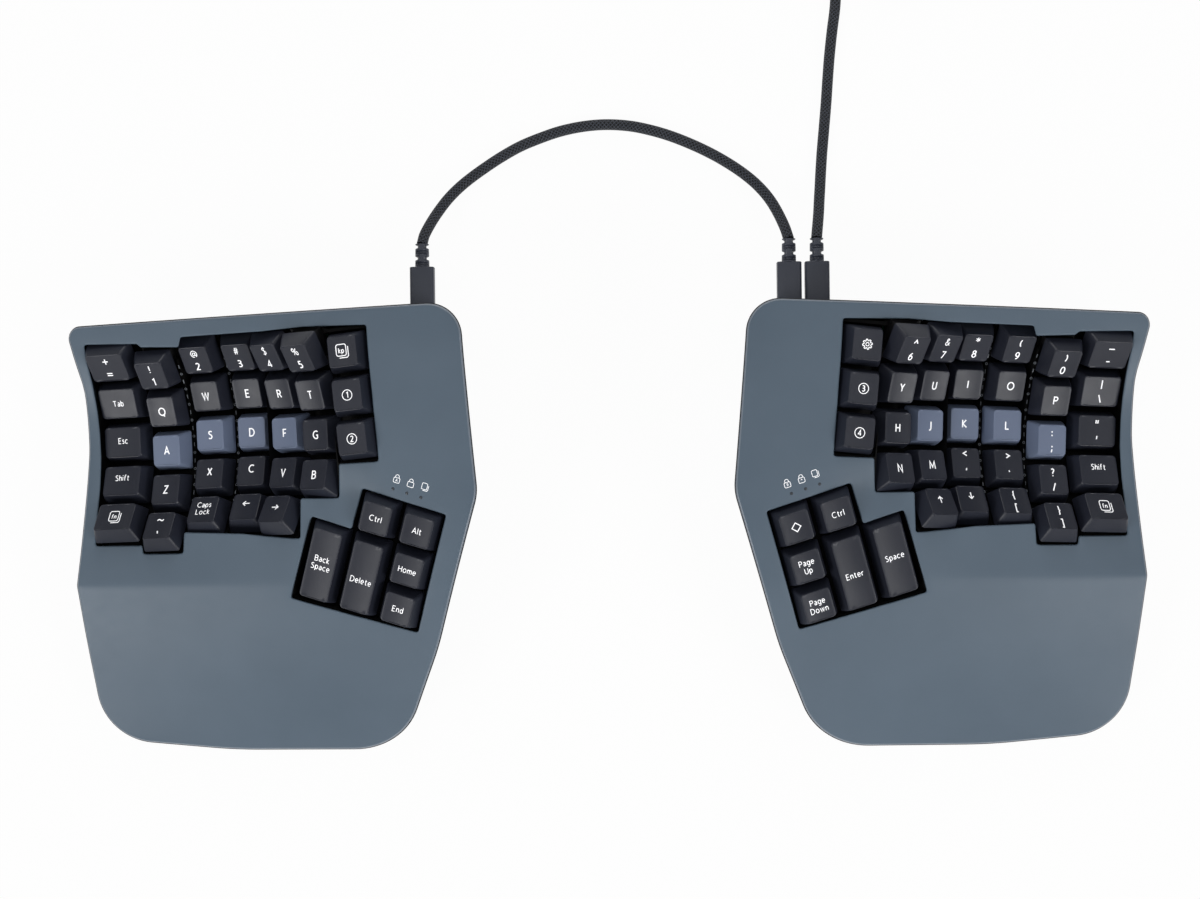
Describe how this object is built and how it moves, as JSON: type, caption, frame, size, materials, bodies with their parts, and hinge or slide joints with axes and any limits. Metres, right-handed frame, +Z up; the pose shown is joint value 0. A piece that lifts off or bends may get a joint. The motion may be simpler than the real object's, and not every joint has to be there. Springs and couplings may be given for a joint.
{
  "type": "ergonomic split keyboard",
  "caption": "Split contoured keyboard: two mirrored halves with concave key wells, thumb clusters and palm rests, keys that press, tent legs, a bridge cable and a host cable.",
  "frame": {"origin": "middle of the two halves on the desk, under their common bounding box, without the cables", "axes": "+X to the user's right, +Y away from the user, +Z up"},
  "size_m": [0.4978, 0.4495, 0.0696],
  "materials": {
    "case_plastic": "fine-grained moulded plastic, grey-blue",
    "tray_plastic": "black moulded plastic",
    "key_plastic": "black key caps with light legends",
    "home_key_plastic": "blue-grey home-row key caps",
    "switch_plastic": "dark switch bodies",
    "circuit_board": "circuit board",
    "plated_metal": "plated socket shell",
    "light_pipe": "clear light pipe",
    "foot_rubber": "soft black rubber",
    "screw_steel": "zinc-plated steel",
    "cable_braid": "black braided sleeve",
    "plug_plastic": "black moulded plug",
    "button_plastic": "black moulded plastic"
  },
  "bodies": {
    "frame": {"left_top_case": "case_plastic", "left_bottom_case": "tray_plastic", "left_key_well": "tray_plastic", "left_thumb_plate": "tray_plastic", "left_switch_housings": "switch_plastic", "left_main_board": "circuit_board", "right_top_case": "case_plastic", "right_bottom_case": "tray_plastic", "right_key_well": "tray_plastic", "right_thumb_plate": "tray_plastic", "right_switch_housings": "switch_plastic", "right_main_board": "circuit_board", "flex_circuits": "circuit_board", "usb_sockets": "plated_metal", "indicator_light_pipes": "light_pipe", "rubber_feet": "foot_rubber", "case_screws": "screw_steel", "bridge_cable": "cable_braid", "usb_c_plugs": "plug_plastic", "usb_cable": "cable_braid", "usb_cable_coil": "cable_braid", "usb_a_plug": "plug_plastic"},
    "left_number_row_keys": {"left_number_row_keys": "key_plastic"},
    "left_upper_row_keys": {"left_upper_row_keys": "key_plastic"},
    "left_home_row_keys": {"left_home_row_keys": "home_key_plastic"},
    "left_lower_row_keys": {"left_lower_row_keys": "key_plastic"},
    "left_bottom_row_keys": {"left_bottom_row_keys": "key_plastic"},
    "left_index_number_keys": {"left_index_number_keys": "key_plastic"},
    "left_index_upper_keys": {"left_index_upper_keys": "key_plastic"},
    "left_index_home_keys": {"left_index_home_keys": "home_key_plastic"},
    "left_index_lower_keys": {"left_index_lower_keys": "key_plastic"},
    "left_index_bottom_key": {"left_index_bottom_key": "key_plastic"},
    "left_inner_column_keys": {"left_inner_column_keys": "key_plastic"},
    "left_thumb_upper_inner_key": {"left_thumb_upper_inner_key": "key_plastic"},
    "left_thumb_middle_inner_key": {"left_thumb_middle_inner_key": "key_plastic"},
    "left_thumb_lower_inner_key": {"left_thumb_lower_inner_key": "key_plastic"},
    "left_thumb_upper_key": {"left_thumb_upper_key": "key_plastic"},
    "left_thumb_middle_bar_key": {"left_thumb_middle_bar_key": "key_plastic"},
    "left_thumb_outer_bar_key": {"left_thumb_outer_bar_key": "key_plastic"},
    "left_tent_leg": {"left_tent_leg": "tray_plastic"},
    "left_tent_button": {"left_tent_button": "button_plastic"},
    "right_number_row_keys": {"right_number_row_keys": "key_plastic"},
    "right_upper_row_keys": {"right_upper_row_keys": "key_plastic"},
    "right_home_row_keys": {"right_home_row_keys": "home_key_plastic"},
    "right_lower_row_keys": {"right_lower_row_keys": "key_plastic"},
    "right_bottom_row_keys": {"right_bottom_row_keys": "key_plastic"},
    "right_index_number_keys": {"right_index_number_keys": "key_plastic"},
    "right_index_upper_keys": {"right_index_upper_keys": "key_plastic"},
    "right_index_home_keys": {"right_index_home_keys": "home_key_plastic"},
    "right_index_lower_keys": {"right_index_lower_keys": "key_plastic"},
    "right_index_bottom_key": {"right_index_bottom_key": "key_plastic"},
    "right_inner_column_keys": {"right_inner_column_keys": "key_plastic"},
    "right_thumb_upper_inner_key": {"right_thumb_upper_inner_key": "key_plastic"},
    "right_thumb_middle_inner_key": {"right_thumb_middle_inner_key": "key_plastic"},
    "right_thumb_lower_inner_key": {"right_thumb_lower_inner_key": "key_plastic"},
    "right_thumb_upper_key": {"right_thumb_upper_key": "key_plastic"},
    "right_thumb_middle_bar_key": {"right_thumb_middle_bar_key": "key_plastic"},
    "right_thumb_outer_bar_key": {"right_thumb_outer_bar_key": "key_plastic"},
    "right_tent_leg": {"right_tent_leg": "tray_plastic"},
    "right_tent_button": {"right_tent_button": "button_plastic"}
  },
  "joints": [
    {"name": "left_number_row_press", "type": "slide", "parent": "frame", "child": "left_number_row_keys", "axis": [0.1497, 0.5711, -0.8071], "range_m": [0, 0.004], "stiffness_N_per_m": 300, "springref_m": -0.004},
    {"name": "left_upper_row_press", "type": "slide", "parent": "frame", "child": "left_upper_row_keys", "axis": [0.1871, 0.3031, -0.9344], "range_m": [0, 0.004], "stiffness_N_per_m": 300, "springref_m": -0.004},
    {"name": "left_home_row_press", "type": "slide", "parent": "frame", "child": "left_home_row_keys", "axis": [0.2078, 0.008, -0.9781], "range_m": [0, 0.004], "stiffness_N_per_m": 300, "springref_m": -0.004},
    {"name": "left_lower_row_press", "type": "slide", "parent": "frame", "child": "left_lower_row_keys", "axis": [0.2098, -0.2879, -0.9344], "range_m": [0, 0.004], "stiffness_N_per_m": 300, "springref_m": -0.004},
    {"name": "left_bottom_row_press", "type": "slide", "parent": "frame", "child": "left_bottom_row_keys", "axis": [0.1931, -0.558, -0.8071], "range_m": [0, 0.004], "stiffness_N_per_m": 300, "springref_m": -0.004},
    {"name": "left_index_number_press", "type": "slide", "parent": "frame", "child": "left_index_number_keys", "axis": [0.3137, 0.5774, -0.7538], "range_m": [0, 0.004], "stiffness_N_per_m": 150, "springref_m": -0.004},
    {"name": "left_index_upper_press", "type": "slide", "parent": "frame", "child": "left_index_upper_keys", "axis": [0.3769, 0.3104, -0.8727], "range_m": [0, 0.004], "stiffness_N_per_m": 150, "springref_m": -0.004},
    {"name": "left_index_home_press", "type": "slide", "parent": "frame", "child": "left_index_home_keys", "axis": [0.4064, 0.0156, -0.9135], "range_m": [0, 0.004], "stiffness_N_per_m": 150, "springref_m": -0.004},
    {"name": "left_index_lower_press", "type": "slide", "parent": "frame", "child": "left_index_lower_keys", "axis": [0.3996, -0.2806, -0.8727], "range_m": [0, 0.004], "stiffness_N_per_m": 150, "springref_m": -0.004},
    {"name": "left_index_bottom_press", "type": "slide", "parent": "frame", "child": "left_index_bottom_key", "axis": [0.357, -0.5517, -0.7538], "range_m": [0, 0.004], "stiffness_N_per_m": 75, "springref_m": -0.004},
    {"name": "left_inner_column_press", "type": "slide", "parent": "frame", "child": "left_inner_column_keys", "axis": [0.2078, 0.008, -0.9781], "range_m": [0, 0.004], "stiffness_N_per_m": 225, "springref_m": -0.004},
    {"name": "left_thumb_upper_inner_press", "type": "slide", "parent": "frame", "child": "left_thumb_upper_inner_key", "axis": [0.1366, 0.1908, -0.9721], "range_m": [0, 0.004], "stiffness_N_per_m": 75, "springref_m": -0.004},
    {"name": "left_thumb_middle_inner_press", "type": "slide", "parent": "frame", "child": "left_thumb_middle_inner_key", "axis": [0.1366, 0.1908, -0.9721], "range_m": [0, 0.004], "stiffness_N_per_m": 75, "springref_m": -0.004},
    {"name": "left_thumb_lower_inner_press", "type": "slide", "parent": "frame", "child": "left_thumb_lower_inner_key", "axis": [0.1366, 0.1908, -0.9721], "range_m": [0, 0.004], "stiffness_N_per_m": 75, "springref_m": -0.004},
    {"name": "left_thumb_upper_press", "type": "slide", "parent": "frame", "child": "left_thumb_upper_key", "axis": [0.1366, 0.1908, -0.9721], "range_m": [0, 0.004], "stiffness_N_per_m": 75, "springref_m": -0.004},
    {"name": "left_thumb_middle_bar_press", "type": "slide", "parent": "frame", "child": "left_thumb_middle_bar_key", "axis": [0.1366, 0.1908, -0.9721], "range_m": [0, 0.004], "stiffness_N_per_m": 75, "springref_m": -0.004},
    {"name": "left_thumb_outer_bar_press", "type": "slide", "parent": "frame", "child": "left_thumb_outer_bar_key", "axis": [0.1366, 0.1908, -0.9721], "range_m": [0, 0.004], "stiffness_N_per_m": 75, "springref_m": -0.004},
    {"name": "left_tent_leg_slide", "type": "slide", "parent": "frame", "child": "left_tent_leg", "axis": [0, 0, -1], "range_m": [0, 0.02]},
    {"name": "left_tent_button_press", "type": "slide", "parent": "frame", "child": "left_tent_button", "axis": [0, 0, 1], "range_m": [0, 0.002], "stiffness_N_per_m": 300, "springref_m": -0.003},
    {"name": "right_number_row_press", "type": "slide", "parent": "frame", "child": "right_number_row_keys", "axis": [-0.1497, 0.5711, -0.8071], "range_m": [0, 0.004], "stiffness_N_per_m": 300, "springref_m": -0.004},
    {"name": "right_upper_row_press", "type": "slide", "parent": "frame", "child": "right_upper_row_keys", "axis": [-0.1871, 0.3031, -0.9344], "range_m": [0, 0.004], "stiffness_N_per_m": 300, "springref_m": -0.004},
    {"name": "right_home_row_press", "type": "slide", "parent": "frame", "child": "right_home_row_keys", "axis": [-0.2078, 0.008, -0.9781], "range_m": [0, 0.004], "stiffness_N_per_m": 300, "springref_m": -0.004},
    {"name": "right_lower_row_press", "type": "slide", "parent": "frame", "child": "right_lower_row_keys", "axis": [-0.2098, -0.2879, -0.9344], "range_m": [0, 0.004], "stiffness_N_per_m": 300, "springref_m": -0.004},
    {"name": "right_bottom_row_press", "type": "slide", "parent": "frame", "child": "right_bottom_row_keys", "axis": [-0.1931, -0.558, -0.8071], "range_m": [0, 0.004], "stiffness_N_per_m": 300, "springref_m": -0.004},
    {"name": "right_index_number_press", "type": "slide", "parent": "frame", "child": "right_index_number_keys", "axis": [-0.3137, 0.5774, -0.7538], "range_m": [0, 0.004], "stiffness_N_per_m": 150, "springref_m": -0.004},
    {"name": "right_index_upper_press", "type": "slide", "parent": "frame", "child": "right_index_upper_keys", "axis": [-0.3769, 0.3104, -0.8727], "range_m": [0, 0.004], "stiffness_N_per_m": 150, "springref_m": -0.004},
    {"name": "right_index_home_press", "type": "slide", "parent": "frame", "child": "right_index_home_keys", "axis": [-0.4064, 0.0156, -0.9135], "range_m": [0, 0.004], "stiffness_N_per_m": 150, "springref_m": -0.004},
    {"name": "right_index_lower_press", "type": "slide", "parent": "frame", "child": "right_index_lower_keys", "axis": [-0.3996, -0.2806, -0.8727], "range_m": [0, 0.004], "stiffness_N_per_m": 150, "springref_m": -0.004},
    {"name": "right_index_bottom_press", "type": "slide", "parent": "frame", "child": "right_index_bottom_key", "axis": [-0.357, -0.5517, -0.7538], "range_m": [0, 0.004], "stiffness_N_per_m": 75, "springref_m": -0.004},
    {"name": "right_inner_column_press", "type": "slide", "parent": "frame", "child": "right_inner_column_keys", "axis": [-0.2078, 0.008, -0.9781], "range_m": [0, 0.004], "stiffness_N_per_m": 225, "springref_m": -0.004},
    {"name": "right_thumb_upper_inner_press", "type": "slide", "parent": "frame", "child": "right_thumb_upper_inner_key", "axis": [-0.1366, 0.1908, -0.9721], "range_m": [0, 0.004], "stiffness_N_per_m": 75, "springref_m": -0.004},
    {"name": "right_thumb_middle_inner_press", "type": "slide", "parent": "frame", "child": "right_thumb_middle_inner_key", "axis": [-0.1366, 0.1908, -0.9721], "range_m": [0, 0.004], "stiffness_N_per_m": 75, "springref_m": -0.004},
    {"name": "right_thumb_lower_inner_press", "type": "slide", "parent": "frame", "child": "right_thumb_lower_inner_key", "axis": [-0.1366, 0.1908, -0.9721], "range_m": [0, 0.004], "stiffness_N_per_m": 75, "springref_m": -0.004},
    {"name": "right_thumb_upper_press", "type": "slide", "parent": "frame", "child": "right_thumb_upper_key", "axis": [-0.1366, 0.1908, -0.9721], "range_m": [0, 0.004], "stiffness_N_per_m": 75, "springref_m": -0.004},
    {"name": "right_thumb_middle_bar_press", "type": "slide", "parent": "frame", "child": "right_thumb_middle_bar_key", "axis": [-0.1366, 0.1908, -0.9721], "range_m": [0, 0.004], "stiffness_N_per_m": 75, "springref_m": -0.004},
    {"name": "right_thumb_outer_bar_press", "type": "slide", "parent": "frame", "child": "right_thumb_outer_bar_key", "axis": [-0.1366, 0.1908, -0.9721], "range_m": [0, 0.004], "stiffness_N_per_m": 75, "springref_m": -0.004},
    {"name": "right_tent_leg_slide", "type": "slide", "parent": "frame", "child": "right_tent_leg", "axis": [0, 0, -1], "range_m": [0, 0.02]},
    {"name": "right_tent_button_press", "type": "slide", "parent": "frame", "child": "right_tent_button", "axis": [0, 0, 1], "range_m": [0, 0.002], "stiffness_N_per_m": 300, "springref_m": -0.003}
  ]
}
